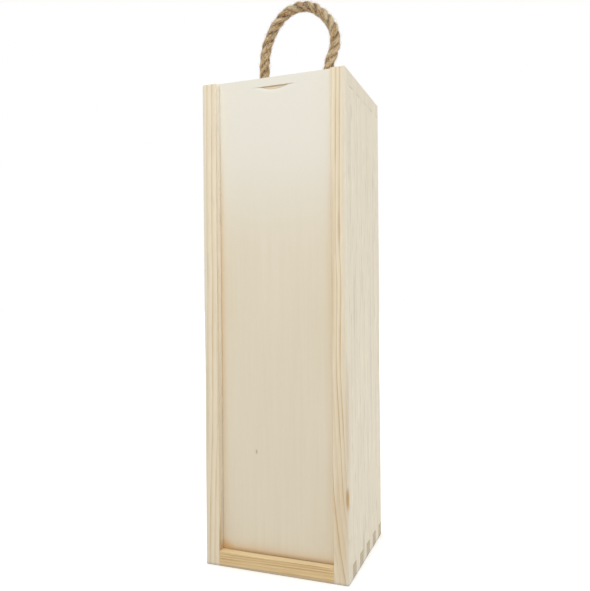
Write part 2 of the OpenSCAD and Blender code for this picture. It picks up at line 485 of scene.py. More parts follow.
def hole_collar(x, grid, low_z, high_z):
    """Rings from the square of grid points round a rope hole to its eased edges, and its wall."""
    edge = grid[:-1]
    low, high = np.full_like(edge, grid[0]), np.full_like(edge, grid[-1])
    square = np.r_[np.c_[edge, low], np.c_[high, edge], np.c_[-edge, high], np.c_[low, -edge]]
    unit = unit_rows(square)
    rims = []
    for turn in np.radians([0, 22.5, 45, 67.5, 90]):
        radius = ROPE_HOLE_RADIUS + ROPE_HOLE_EASE * (1 - math.sin(turn))
        rims.append((unit * radius, ROPE_HOLE_EASE * (1 - math.cos(turn))))
    levels = [(square, high_z), *((ring, high_z - drop) for ring, drop in rims)]
    levels += [*((ring, low_z + drop) for ring, drop in rims[::-1]), (square, low_z)]
    points = np.concatenate([np.c_[ring, np.full(len(ring), z)] for ring, z in levels])
    return points + [x, ROPE_Y, 0], tube(len(levels), len(square))


def lid_sheet(ply):
    """Points and quads of the lid, with its thumb notch cut into the front face."""
    low, high = LID
    radius = ply.arris / MM
    tall, deep = ply.notch_height / MM, ply.notch_depth / MM
    top = high[2] - ply.notch_drop / MM
    # Height of the notch's upper wall, and the rows of quads under it
    wall, rows = 0.12, 7
    half = ply.notch_width / 2 / MM
    cutter = (half * half + deep * deep) / (2 * deep)
    lean = math.atan(deep / tall)
    planes = box_planes(low, high, radius)
    planes[0] += list(np.linspace(-half, half, 31)) + list(np.linspace(low[0], high[0], 13))
    planes[2] += list(np.linspace(low[2], top - 2 * tall, 24))
    shelf = [top, *[top - wall - tall * j / rows for j in range(rows + 1)]]
    planes[2] += shelf
    points, quads = carve([(low, high)], [], planes)
    front = np.abs(points[:, 1] - low[1]) < NEAR
    x = np.clip(np.abs(points[:, 0]), 0, half)
    sag = cutter - np.sqrt(cutter * cutter - x * x)
    depth = np.maximum(deep - sag / math.cos(lean), 0)
    share = (top - wall - points[:, 2]) / tall
    cut = front & (share > -NEAR) & (share < 1 + NEAR)
    points[cut, 2] = (top - wall - share * depth * tall / deep)[cut]
    points[cut, 1] = (low[1] + np.maximum(depth * (1 - share), 0))[cut]
    # Rows that ran together beside the notch spread out again, a hair apart
    beside = cut & (depth < 0.02)
    points[beside, 1] = low[1]
    points[beside, 2] = (top - wall - share * 0.02)[beside]
    round_box(points, low, high, radius)
    return points, quads


def panel_sheet(ply):
    """Points and quads of the back panel."""
    low, high = BACK_PANEL
    radius = ply.arris / MM
    planes = box_planes(low, high, radius)
    planes[0] += list(np.linspace(low[0], high[0], 9))
    planes[2] += list(np.linspace(low[2], high[2], 25))
    points, quads = carve([(low, high)], [], planes)
    round_box(points, low, high, radius)
    return points, quads


# Rope shapes


def run_along(path):
    """How far along a path each of its points lies."""
    return np.r_[0, np.cumsum(np.linalg.norm(np.diff(path, axis=0), axis=1))]


def even(path, count):
    """A path with its points spread evenly along it."""
    run = run_along(path)
    place = np.linspace(0, run[-1], count)
    return np.stack([np.interp(place, run, path[:, k]) for k in range(3)], 1)


def flowing(path, step):
    """A smooth curve through the points of a path, with a point every step."""
    path = np.asarray(path, float)
    ends = np.vstack([2 * path[0] - path[1], path, 2 * path[-1] - path[-2]])
    t = np.linspace(0, 1, 24, endpoint=False)[:, None]
    runs = []
    for a, b, c, d in zip(ends, ends[1:], ends[2:], ends[3:]):
        runs.append(0.5 * (2 * b + (c - a) * t + (2 * a - 5 * b + 4 * c - d) * t**2
                           + (3 * b - a - 3 * c + d) * t**3))
    fine = np.vstack([*runs, path[-1:]])
    return even(fine, max(8, round(run_along(fine)[-1] / step)))


def carried_frames(centre):
    """Directions along a curve and two across it, carried along without twist."""
    along = unit_rows(np.gradient(centre, axis=0))
    across = np.zeros_like(along)
    across[0] = unit_rows(np.cross(along[0], [0.0, 1.0, 0.0]))
    for i in range(1, len(along)):
        across[i] = unit_rows(across[i - 1] - along[i] * (across[i - 1] @ along[i]))
    return along, across, np.cross(along, across)


def lay_strands(centre, diameter, pitch, sides, rng):
    """Three strands twisted round a centre line.

    Gives points, faces, and for each point its lay (where it is round its own yarns and along the
    rope) and how far it stands out of the rope, from 0 in a crevice to 1.
    """
    run = run_along(centre)
    along, across, third = carried_frames(centre)
    strand = STRAND_SHARE * diameter
    helix = diameter / 2 - strand
    yarns, yarn_pitch = 8, 1.25 * pitch
    angle = np.linspace(0, 2 * math.pi, sides, endpoint=False)
    skin = tube(len(centre), sides)
    points, faces, lays = [], [], []
    for k in range(3):
        wander = sum(
            rng.uniform(-1, 1) * np.sin(run / rng.uniform(6, 30) + rng.uniform(0, 6.3))
            for _ in range(4)
        )
        turn = 2 * math.pi * (run / pitch + k / 3) + 0.1 * wander
        outward = np.cos(turn)[:, None] * across + np.sin(turn)[:, None] * third
        spine = centre + outward * helix
        ahead = unit_rows(np.gradient(spine, axis=0))
        side = unit_rows(outward - ahead * (outward * ahead).sum(1)[:, None])
        other = np.cross(ahead, side)
        yarn = angle[None, :] + 2 * math.pi * run[:, None] / yarn_pitch
        lobe = 0.065 * np.cos(yarns * yarn) + 0.025 * np.sin(3 * yarn + 2.1 * k)
        radius = strand * (1 + lobe + 0.04 * wander[:, None])
        ring = (
            spine[:, None]
            + side[:, None] * (radius * np.cos(angle))[..., None]
            + other[:, None] * (radius * np.sin(angle))[..., None]
        )
        first = k * len(centre) * sides
        points.append(ring.reshape(-1, 3))
        where = np.stack([np.cos(yarn) + 5 * k, np.sin(yarn), run[:, None] + 0 * yarn], -1)
        lays.append(where.reshape(-1, 3))
        faces += (skin + first).tolist()
        faces.append(range(first + sides - 1, first - 1, -1))
        last = first + (len(centre) - 1) * sides
        faces.append(range(last, last + sides))
    points, lays = np.concatenate(points), np.concatenate(lays)
    spine = np.tile(np.repeat(centre, sides, axis=0), (3, 1))
    out = np.linalg.norm(points - spine, axis=1)
    proud = np.clip((out - 0.2 * diameter) / (0.31 * diameter), 0, 1)
    return points, faces, lays, proud


def fibres(roots, ways, lifts, lengths, thickness, rng):
    """Loose three-sided hairs, each bending away from its root."""
    rings, count = 4, len(roots)
    t = np.linspace(0, 1, rings)[None, :, None]
    reach = np.asarray(lengths)[:, None, None]
    bend = rng.normal(0, 0.35, (count, 1, 3))
    course = ways[:, None] * t + lifts[:, None] * 0.55 * t**1.6 + bend * 0.5 * t * t
    line = roots[:, None] + reach * course
    ahead = unit_rows(np.gradient(line, axis=1))
    side = unit_rows(np.cross(ahead, [0.31, 0.62, 0.72]))
    other = np.cross(ahead, side)
    thin = thickness * (1 - 0.65 * t)
    rows = [line + thin * (math.cos(a) * side + math.sin(a) * other) for a in (0, 2.094, 4.189)]
    points = np.stack(rows, 2).reshape(-1, 3)
    first = np.arange(count) * rings * 3
    faces = (tube(rings, 3)[:, None] + first[:, None]).reshape(-1, 4).tolist()
    faces += np.stack([first + 2, first + 1, first], 1).tolist()
    tip = first + 3 * (rings - 1)
    faces += np.stack([tip, tip + 1, tip + 2], 1).tolist()
    lays = np.repeat(np.c_[roots[:, :2] * 3, roots[:, 2] + 40 * reach[:, 0, 0]], rings * 3, axis=0)
    proud = np.tile(np.repeat(1.35 + 0.4 * t[0, :, 0], 3), count)
    return points, faces, lays, proud


def rope_piece(name, shape, material):
    """A piece of rope with the lay and proud values that its material reads."""
    points, faces, lays, proud = shape
    mesh = new_mesh(name, points, faces)
    lay = mesh.attributes.new("lay", "FLOAT_VECTOR", "POINT")
    lay.data.foreach_set("vector", np.asarray(lays, np.float32).ravel())
    stands = mesh.attributes.new("proud", "FLOAT", "POINT")
    stands.data.foreach_set("value", np.asarray(proud, np.float32))
    mesh.shade_smooth()
    return placed(name, mesh, material)


def joined(*shapes):
    """Several rope shapes as one."""
    faces, start = [], 0
    for points, skin, _, _ in shapes:
        faces += [[i + start for i in face] for face in skin]
        start += len(points)
    points, _, lays, proud = zip(*shapes)
    return np.concatenate(points), faces, np.concatenate(lays), np.concatenate(proud)


def handle_path():
    """The handle's middle line in mm, from inside one hole to inside the other."""
    top = BOX_HIGH[2]
    route = [(-ROPE_X, -5.0), *ROPE_ROUTE, (ROPE_X, -5.0)]
    return flowing([(x, ROPE_Y, top + h) for x, h in route], 0.6)


def overhand(diameter, top, bottom):
    """Middle line of a tight overhand knot on the upright axis, from top down to bottom.

    A loose knot is drawn together a little at a time, while touching turns push each other apart.
    """
    # The loose knot, with the line between its ends turned upright and its turns round the axis
    t = np.linspace(-2.15, 2.15, 300)
    loose = np.stack([t**3 - 3 * t, (t**5 - 10 * t) / 4, t**4 - 4 * t * t], 1) * 3.75
    axis = loose[-1] - loose[0]
    axis /= np.linalg.norm(axis)
    side = np.cross(axis, [0, 0, 1.0])
    side /= np.linalg.norm(side)
    loose = loose @ np.stack([np.cross(side, axis), side, axis], 1)
    loose -= (loose[0] + loose[-1]) / 2
    loose[:, :2] -= loose[60:240, :2].mean(0)
    # It is pulled straight a little, then what touches is pushed apart, again and again
    reach, count, rounds = 24.0, 84, 300
    line = even(np.vstack([[0, 0, -reach], loose, [0, 0, reach]]), count)
    for _ in range(rounds):
        line[1:-1] += 0.3 * (line[:-2] + line[2:] - 2 * line[1:-1])
        step = np.linalg.norm(np.diff(line, axis=0), axis=1).mean()
        i, j = np.triu_indices(len(line), int(math.ceil(1.35 * diameter / step)))
        for _ in range(3):
            apart = line[i] - line[j]
            gap = np.linalg.norm(apart, axis=1)
            near = gap < diameter
            if not near.any():
                break
            push = apart[near] / gap[near][:, None] * (0.35 * (diameter - gap[near]))[:, None]
            move, met = np.zeros_like(line), np.zeros(len(line))
            np.add.at(move, i[near], push)
            np.add.at(move, j[near], -push)
            np.add.at(met, i[near], 1)
            np.add.at(met, j[near], 1)
            move /= np.sqrt(np.maximum(met, 1))[:, None]
            move[0] = move[-1] = 0
            line += move
        line = even(line, count)
    # What stands off the axis is the knot, and it comes up to touch top
    knotted = line[np.hypot(line[:, 0], line[:, 1]) > 0.8]
    line = line[::-1].copy()
    line[:, 2] += top - knotted[:, 2].max() - diameter / 2
    return line[line[:, 2] > bottom]


# Finishes


class Value:
    """A node's output in a finish. Sums and products of values add Math nodes."""

    def __init__(self, finish, socket):
        self.finish, self.socket = finish, socket

    def __add__(self, other):
        return self.finish.math("ADD", self, other)

    def __sub__(self, other):
        return self.finish.math("SUBTRACT", self, other)

    def __rsub__(self, other):
        return self.finish.math("SUBTRACT", other, self)

    def __mul__(self, other):
        return self.finish.math("MULTIPLY", self, other)

    def __truediv__(self, other):
        return self.finish.math("DIVIDE", self, other)

    __radd__ = __add__
    __rmul__ = __mul__


class Finish:
    """The nodes of one material or world, with short calls that add and wire them."""

    def __init__(self, owner):
        owner.use_nodes = True
        self.owner, self.tree = owner, owner.node_tree

    def wire(self, socket, value):
        """Links a node's output to an input, or sets the input to a plain value."""
        if isinstance(value, Value):
            self.tree.links.new(value.socket, socket)
        elif value is not None:
            socket.default_value = value

    def add(self, kind, values, output=0, **settings):
        """Adds a node, sets it, wires values to its inputs by number or in order, gives an output."""
        node = self.tree.nodes.new(kind)
        for name, setting in settings.items():
            setattr(node, name, setting)
        pairs = values.items() if isinstance(values, dict) else enumerate(values)
        for key, value in pairs:
            self.wire(node.inputs[key], value)
        return Value(self, node.outputs[output])

    def math(self, operation, *values, clamp=False):
        """A Math node on values."""
        return self.add("ShaderNodeMath", values, operation=operation, use_clamp=clamp)

    def place(self, output="Object", scale=1 / MM):
        """x, y and z on the piece, in mm, or its normal."""
        return self.split(self.scaled(self.add("ShaderNodeTexCoord", (), output=output), scale))

    def scaled(self, vector, factor):
        """A place or a colour times a factor."""
        return self.add("ShaderNodeVectorMath", {0: vector, "Scale": factor}, operation="SCALE")

    def split(self, vector):
        """A vector's three values."""
        node = self.tree.nodes.new("ShaderNodeSeparateXYZ")
        self.wire(node.inputs[0], vector)
        return [Value(self, out) for out in node.outputs]

    def noise(self, x, y, z, detail=2.0, roughness=0.5):
        """Smooth noise about 0.5 at a place already scaled to it."""
        values = {"Scale": 1.0, "Detail": detail, "Roughness": roughness}
        values["Vector"] = self.add("ShaderNodeCombineXYZ", (x, y, z))
        return self.add("ShaderNodeTexNoise", values)

    def step(self, value, low, high, start=0.0, end=1.0, smooth=True):
        """start below low, end above high, and in between a ramp."""
        kind = "SMOOTHSTEP" if smooth else "LINEAR"
        return self.add(
            "ShaderNodeMapRange", (value, low, high, start, end), interpolation_type=kind, clamp=True
        )

    def mix(self, share, *colours):
        """Two colours mixed; share is how much of the second. Plain ones are given as on screen."""
        first, second = (c if isinstance(c, Value) else linear(c) for c in colours)
        return self.add(
            "ShaderNodeMix", {0: share, 6: first, 7: second}, output=2,
            data_type="RGBA", clamp_factor=True,
        )

    def curve(self, value, *stops, flow="LINEAR"):
        """A ramp of (place, level) stops."""
        node = self.tree.nodes.new("ShaderNodeValToRGB")
        ramp = node.color_ramp
        ramp.interpolation = flow
        while len(ramp.elements) < len(stops):
            ramp.elements.new(1.0)
        for element, (place, level) in zip(ramp.elements, stops):
            element.position = place
            element.color = (level, level, level, 1)
        self.wire(node.inputs[0], value)
        return Value(self, node.outputs[0])

    def graph(self, value, points):
        """A smooth curve through (place, value) points."""
        places, values = zip(*points)
        low, reach = min(values), max(values) - min(values)
        start, span = places[0], places[-1] - places[0]
        stops = [((p - start) / span, (v - low) / reach) for p, v in points]
        return self.curve((value - start) / span, *stops, flow="CARDINAL") * reach + low

    def spot(self, place, middle, size):
        """1 in the middle of a small mark and 0 outside it."""
        x, y, z = [(axis - m) / s for axis, m, s in zip(place, middle, size)]
        away = self.math("SQRT", x * x + y * y + z * z)
        return self.step(away, 0.35, 1.25, 1.0, 0.0)

    def marked(self, colour, place, marks):
        """A colour with small marks on it, each (middle, size, colour, share)."""
        for middle, size, tone, most in marks:
            colour = self.mix(self.spot(place, middle, size) * most, colour, tone)
        return colour

    def surface(self, colour, roughness, height, depth, **constants):
        """Wires the shader: colour, roughness, and a bump of that depth in mm. Gives the material."""
        shader = self.tree.nodes["Principled BSDF"].inputs
        self.wire(shader["Base Color"], colour)
        self.wire(shader["Roughness"], roughness)
        bump = {"Strength": 1.0, "Distance": depth * MM, "Height": height}
        self.wire(shader["Normal"], self.add("ShaderNodeBump", bump))
        for name, value in constants.items():
            shader[name.replace("_", " ")].default_value = value
        return self.owner


def timber(name, light, dark, grain, heart, rings, cut, lean=(), lines=1.0, wobble=1.0,
           broad=None, figure=1.0, marks=(), seed=0.0):
    """Solid softwood whose growth rings run right through the board.

    grain is the axis of the fibres, "Z" or "X". heart is the middle of the rings, in mm: first
    across the board's thickness, then from front to rear. rings is how far apart they are, in mm, or
    each ring's place across the thickness and its strength. lean tells how far the rings lean at
    places along the grain, in mm. cut is (colour, share) of end grain. broad is (side, colour,
    start): from start mm behind the front on, the rings hardly show on the broad faces, and side
    tells which of them is the outer one.
    """
    f = Finish(bpy.data.materials.new(name))
    x, y, z = f.place()
    turned = f.place("Normal", 1.0)
    if grain == "Z":
        thick, along, facing, flat = x, z, turned[2], turned[0]
    else:
        thick, along, facing, flat = z, x, turned[0], turned[2]
    low = f.noise(thick / 22 + seed, y / 22, along / 150, detail=1.0)
    leaning = thick - f.graph(along, lean) if lean else thick
    across = leaning - heart[0] + (low - 0.5) * 1.6 * wobble
    depth = y - heart[1] + (low - 0.5) * 2.0 * wobble
    away = f.math("SQRT", across * across + depth * depth)
    if isinstance(rings, tuple):
        across = away + heart[0]
        count = f.graph(across, [(place, number) for number, (place, _) in enumerate(rings)])
        strong = f.graph(across, rings)
    else:
        uneven = f.noise(away / (2.6 * rings) + seed, 0.0, along / 900, detail=0.0)
        count = away / rings + (uneven - 0.5) * 0.9 * wobble
        own = f.add(
            "ShaderNodeTexWhiteNoise", {"W": f.math("FLOOR", count) + seed}, noise_dimensions="1D"
        )
        strong = f.step(own, 0.0, 1.0, 0.3, 1.0, smooth=False)
    part = f.math("FRACT", count)
    line = f.curve(part, (0.0, 0.0), (0.42, 0.08), (0.72, 0.42), (0.88, 1.0), (0.95, 0.85), (1.0, 0.0))
    fading = f.noise(f.math("FLOOR", count) * 3.7 + seed, 0.0, along / 40, detail=1.0)
    line = line * strong * f.step(fading, 0.35, 0.65, 0.6, 1.0)
    streak = f.noise(thick / 1.1, y / 1.1, along / 45 + seed, detail=3.0, roughness=0.6)
    fine = f.noise(thick / 0.35, y / 0.35, along / 9 + seed, detail=2.0, roughness=0.6)
    shade = f.noise(thick / 30 + seed, y / 30, along / 90 + 7, detail=2.0)
    pale = f.step(f.noise(thick / 2.4, y / 2.4, along / 18 + seed + 3, detail=1.0), 0.6, 0.72)
    pore = f.step(f.noise(thick / 2.2, y / 2.2, along / 20 + seed + 9, detail=1.0), 0.6, 0.72)
    end = f.step(f.math("ABSOLUTE", facing), 0.45, 0.8)
    share = line * lines
    glow = 1.0 + (fine - 0.5) * 0.13 + pale * 0.03 - pore * 0.04
    if broad:
        side, colour, start = broad
        front = BOX_LOW[1] + start
        quiet = f.step(f.math("ABSOLUTE", flat), 0.45, 0.8) * f.step(y, front, front + 5)
        share = share * (1.0 - quiet * 0.94)
        band = f.noise(y / 4.5 + seed, 0.0, along / 120, detail=2.0)
        glow = glow + quiet * ((band - 0.5) * 0.24 + pale * 0.07 - pore * 0.09)
        outer = f.step(thick * side, BOX_HIGH[0] - 4.0, BOX_HIGH[0] - 0.6)
    share = share + ((streak - 0.5) * 0.34 + (shade - 0.5) * 0.22) * figure
    share = f.math("ADD", share, 0.12, clamp=True)
    tone = f.mix(share, light, dark)
    if broad:
        tone = f.mix(f.math("MAXIMUM", quiet * 0.72, outer * 0.7), tone, colour)
    tone = f.mix(end * (streak + 0.5) * cut[1], tone, cut[0])
    tone = f.scaled(f.marked(tone, (x, y, z), marks), glow)
    height = fine * 0.7 + streak * 0.5 - line * 0.35 - pore * 0.6
    roughness = f.step(streak, 0.3, 0.7, 0.56, 0.70, smooth=False)
    return f.surface(tone, roughness, height, 0.06, Specular_IOR_Level=0.32)


def plywood(name, ply, sheet, face, fibre, margins=0.0, marks=()):
    """Three-layer plywood: quiet veneer on both faces, the core and glue lines at any cut.

    margins is how strongly painted shade browns the front beside the lips, over the sill and in the lower
    left corner, and painted light pales it towards the top.
    """
    f = Finish(bpy.data.materials.new(name))
    x, y, z = f.place()
    low, high = sheet
    veneer = ply.veneer / MM
    waver = (f.noise(x / 9, 0.0, z / 9, detail=1.0) - 0.5) * 0.16
    depth = y - low[1] + waver
    from_rear = high[1] - y + waver
    core = f.step(depth, veneer - 0.05, veneer + 0.05) * f.step(from_rear, veneer - 0.05, veneer + 0.05)
    in_front, behind = (f.math("ABSOLUTE", from_face - veneer) for from_face in (depth, from_rear))
    near_glue = f.math("MINIMUM", in_front, behind)
    glue = f.step(near_glue, 0.03, 0.11, 1.0, 0.0)
    streak = f.noise(x / 2.2, y / 2.2, z / 70, detail=3.0, roughness=0.55)
    fine = f.noise(x / 0.4, y / 0.4, z / 7, detail=2.0, roughness=0.6)
    broad = f.noise(x / 34, 0.0, z / 150, detail=1.0)
    cross = f.noise(x / 14, y / 0.5, z / 0.5, detail=2.0)
    share = f.math("ADD", (streak - 0.5) * 0.55 + (broad - 0.5) * 0.6, 0.35, clamp=True)
    colour = f.mix(share, face, fibre)
    if margins:
        # Painted light: paler, greyer veneer towards the top
        colour = f.mix(f.step(z, 222.0, 320.0), colour, ply.painted_top_light)
    inner = f.scaled(linear(ply.core)[:3], 0.86 + cross * 0.28)
    colour = f.mix(core, colour, inner)
    colour = f.mix(glue * 0.6, colour, ply.glue)
    glow = 1.0 + (fine - 0.5) * 0.06
    if margins:
        # Painted shade: the front browns beside the lips and over the sill, where the recess shades it and
        # the wood round it casts warm light back
        left = f.step(x, -INNER_X, 6.5 - INNER_X, 1.0, 0.0, smooth=False)
        right = f.step(x, INNER_X - 9.0, INNER_X, 0.0, 0.8, smooth=False)
        beside = (left * left + right * right) * f.graph(z, MARGIN_SHADE)
        sill = f.step(z, FLOOR_Z, FLOOR_Z + 12.0, 1.0, 0.0, smooth=False)
        sill = sill * sill * f.step(x, -INNER_X, INNER_X, 1.0, 0.4, smooth=False)
        edge = f.math("ADD", beside, sill, clamp=True) * margins
        colour = f.mix(edge * (1.0 - core), colour, ply.margin)
        # Painted shade at the lid's foot, where it stands in the base's groove
        colour = f.mix(f.step(z, FLOOR_Z, FLOOR_Z + 4.5, 0.32, 0.0), colour, ply.margin)
        colour = f.mix(f.step(z, FLOOR_Z, FLOOR_Z + 2.6, 0.3, 0.0), colour, ply.glue)
        # Painted shade in the lower left corner, between the lip and the sill
        corner = f.spot((x, 0.0, z), (-INNER_X, 0.0, FLOOR_Z), (9.0, 1.0, 7.0))
        colour = f.mix(corner * 0.5 * (1.0 - core), colour, ply.margin)
    colour = f.scaled(f.marked(colour, (x, y, z), marks), glow)
    height = fine * 0.6 + streak * 0.3 + core * cross * 0.8
    roughness = f.step(fine, 0.3, 0.7, 0.50, 0.62, smooth=False)
    return f.surface(colour, roughness, height, 0.03, Specular_IOR_Level=0.35)


def jute(name, rope):
    """Dry plant fibre that follows the yarns."""
    f = Finish(bpy.data.materials.new(name))
    lay = f.add("ShaderNodeAttribute", (), output="Vector", attribute_name="lay")
    round_x, round_y, run = f.split(lay)
    proud = f.add("ShaderNodeAttribute", (), output="Fac", attribute_name="proud")
    yarn = f.noise(round_x * 2.2, round_y * 2.2, run / 14, detail=1.0)
    hair = f.noise(round_x * 9, round_y * 9, run / 2.2, detail=3.0, roughness=0.65)
    patch = f.noise(round_x * 0.7, round_y * 0.7, run / 6, detail=2.0)
    hue = f.noise(round_x * 0.9 + 7, round_y * 0.9, run / 9, detail=2.0)
    speck = f.noise(round_x * 3.1, round_y * 3.1, run / 1.2, detail=2.0)
    # Where the strands stand out they turn lighter, and in the crevices darker: painted highlight and
    # painted shade, mixed with random fibre tone
    tone = proud * 1.25 + (yarn - 0.5) * 0.8 + (hair - 0.5) * 1.3 + (patch - 0.5) * 1.1
    tone = tone + (speck - 0.5) * 1.8 - 0.52
    low = f.step(tone, 0.0, 0.5)
    high = f.step(tone, 0.45, 1.0)
    middle = f.mix(f.step(hue, 0.42, 0.62), rope.middle, rope.green)
    colour = f.mix(low, rope.dark, middle)
    colour = f.mix(high, colour, rope.light)
    colour = f.mix(f.step(proud + (yarn - 0.5) * 0.8, 1.4, 1.8), colour, rope.loose)
    height = hair * 0.8 + yarn * 0.4
    return f.surface(
        colour, 0.86, height, 0.3, Specular_IOR_Level=0.2, Sheen_Weight=0.8, Sheen_Roughness=0.5,
        Sheen_Tint=(0.93, 0.9, 0.82, 1.0),
    )


# Operators


class WINEBOX_OT_camera(bpy.types.Operator):
    """Place the camera that looks at the front and the right side"""

    bl_idname = "winebox.camera"
    bl_label = "Camera"

    def execute(self, context):
        azimuth, elevation, roll = (math.radians(a) for a in CAMERA_TURN)
        lens = bpy.data.cameras.new("camera")
        lens.lens = CAMERA_LENS
        lens.sensor_width = 36.0
        lens.clip_start, lens.clip_end = 0.01, 50
        camera = placed("camera", lens)
        turn = Matrix.Rotation(azimuth, 4, "Z") @ Matrix.Rotation(math.pi / 2 - elevation, 4, "X")
        turn = turn @ Matrix.Rotation(roll, 4, "Z")
        camera.matrix_world = Matrix.Translation(CAMERA_PLACE) @ turn
        context.scene.camera = camera
        return {"FINISHED"}


class WINEBOX_OT_handle(bpy.types.Operator):
    """Twist the rope handle and its loose fibres"""

    bl_idname = "winebox.handle"
    bl_label = "Rope handle"

    def execute(self, context):
        rope = context.scene.wine_box_rope
        rng = np.random.default_rng(41)
        diameter = rope.diameter / MM
        centre = handle_path()
        shape = lay_strands(centre, diameter, rope.pitch / MM, 34, rng)
        material = jute("jute", rope)
        handle = rope_piece("handle_rope", shape, material)
        fuzz = rope_piece("handle_fuzz", self.fuzz(shape, centre, rope.fuzz, rng), material)
        top = BOX_HIGH[2]
        # Where it would bend, from just inside the holes to a little over the board; nothing uses this
        bend = {"start": (0, ROPE_Y * MM, (top - 2) * MM), "end": (0, ROPE_Y * MM, (top + 14) * MM)}
        for piece in (handle, fuzz):
            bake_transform(piece)
        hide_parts("rope_handle")
        return {"FINISHED"}

    def fuzz(self, shape, centre, count, rng):
        """Fibres that have worked loose from the outside of the strands."""
        points, _, _, proud = shape
        outer = np.flatnonzero((proud > 0.55) & (points[:, 2] > BOX_HIGH[2] + 1.5))
        roots = points[rng.choice(outer, count)]
        near = np.argmin(np.linalg.norm(roots[:, None] - centre[None], axis=2), axis=1)
        along = unit_rows(np.gradient(centre, axis=0))[near]
        outward = unit_rows(roots - centre[near])
        round_rope = np.cross(along, outward)
        way = along * rng.choice([-1, 1], count)[:, None] + round_rope * rng.normal(0, 0.5, count)[:, None]
        lift = outward * rng.uniform(0.1, 0.9, count)[:, None]
        reach = rng.gamma(2.4, 0.7, count).clip(0.7, 7)
        shape = fibres(roots - outward * 0.1, unit_rows(way), lift, reach, thickness=0.08, rng=rng)
        floor = BOX_HIGH[2] + 0.15
        shape[0][:, 2] = np.maximum(shape[0][:, 2], floor)
        return shape


class WINEBOX_OT_side_boards(bpy.types.Operator):
    """Cut the two side boards with their fingers and grooves"""

    bl_idname = "winebox.side_boards"
    bl_label = "Side boards"

    def execute(self, context):
        wood = context.scene.wine_box_wood
        # Grey along the lowest edges: dust, and painted contact shadow where the box meets the floor
        dust_and_contact_shade = ((0, 0, 0), (200, 200, 2), wood.dust_and_shade, 0.4)
        right = timber(
            "side_wood_right", wood.side_light, wood.side_dark, "Z", (-351.8, -50.0),
            RIGHT_YEARS, (wood.cut, 0.45), lean=RIGHT_LEAN, wobble=0.3,
            broad=(1, wood.side_broad, 1.5), seed=392.0,
            marks=[
                dust_and_contact_shade,
                ((54.9, -49.8, 60.5), (1.4, 3.2, 8.5), wood.pitch, 0.8),
                ((50.4, -50.0, 248), (1.2, 2.0, 14.0), wood.pitch, 0.3),
                ((50.0, -50.0, 40), (6.0, 3.0, 45.0), wood.side_dark, 0.25),
                ((45.4, -50.0, 225), (1.9, 3.0, 75.0), wood.side_dark, 0.35),
                ((55.4, -49.0, 115), (2.0, 3.2, 50.0), wood.pitch, 0.25),
                ((55.5, 29.0, 262), (2.0, 2.6, 70.0), wood.foot, 0.18),
                ((55.5, 18.0, 150), (2.0, 2.6, 90.0), wood.foot, 0.14),
                ((55.5, -31.0, 196), (2.0, 2.2, 26.0), wood.foot, 0.3),
                ((55.5, -8.5, 14), (2.0, 3.0, 12.0), wood.foot, 0.5),
            ],
        )
        left = timber(
            "side_wood_left", wood.side_light, wood.side_dark, "Z", (382.3, 12.0), 4.0,
            (wood.cut, 0.45), lean=LEFT_LEAN, lines=0.75, wobble=0.3,
            broad=(-1, wood.side_broad, 1.5), seed=117.0,
            marks=[
                dust_and_contact_shade,
                # Painted light on the inner face behind the lip
                ((-44.4, -45.6, 285), (1.2, 4.4, 190), wood.inner, 0.9),
                # Painted shade in the corner where that inner face meets the base, in the pitch colour
                ((-44.4, -45.6, FLOOR_Z), (1.2, 5.0, 8.0), wood.pitch, 0.5),
            ],
        )
        for side, name, node, material in (
            (-1, "side_left", "left_side_board", left),
            (1, "side_right", "right_side_board", right),
        ):
            points, quads = side_board(side, wood)
            board = new_piece(name, points, quads, material)
            crisp(board)
            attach(board, "box")
            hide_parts(node)
        return {"FINISHED"}


class WINEBOX_OT_end_boards(bpy.types.Operator):
    """Cut the bottom board, and the top board with its rope holes"""

    bl_idname = "winebox.end_boards"
    bl_label = "End boards"

    def execute(self, context):
        wood = context.scene.wine_box_wood
        bottom = timber(
            "end_wood_bottom", wood.end_light, wood.end_dark, "X", (-95.0, -20.0),
            BOTTOM_YEARS, (wood.foot, 0.62), lean=((-56, -0.9), (0, 0.1), (56, 0.9)),
            # The base's upper face tends to a paler colour: painted light on the face that looks up at the
            # lamps
            lines=0.95, wobble=0.8, broad=(1, wood.painted_base_light, -6), figure=2.4, seed=11.0,
            marks=[
                # Grey along the lowest edges: dust, and painted contact shadow at the floor
                ((0, 0, 0), (200, 200, 2), wood.dust_and_shade, 0.45),
                # Painted shadow in the gap where the lid stands
                ((12, LID[0][1], FLOOR_Z), (80, 1.9, 1.6), wood.gap, 0.72),
                ((BOX_HIGH[0], -12, 1), (2, 90, 9.5), wood.foot, 0.25),
                ((BOX_LOW[0], -12, 1), (2, 90, 9.5), wood.foot, 0.25),
            ],
        )
        top = timber(
            "end_wood_top", wood.end_light, wood.end_dark, "X", (BOX_HIGH[2] + 120.0, 30.0), 3.1,
            (wood.side_broad, 0.9), lines=0.6, seed=17.0,
        )
        for name, node, first, low_z, holes, material in (
            ("base_board", "bottom_board", 0, BOX_LOW[2], (), bottom),
            ("head_board", "top_board", 1, CEILING_Z, (-ROPE_X, ROPE_X), top),
        ):
            points, faces = end_board(first, low_z, wood, holes)
            board = new_piece(name, points, faces, material, merge=1e-3)
            crisp(board)
            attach(board, "box")
            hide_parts(node)
        return {"FINISHED"}


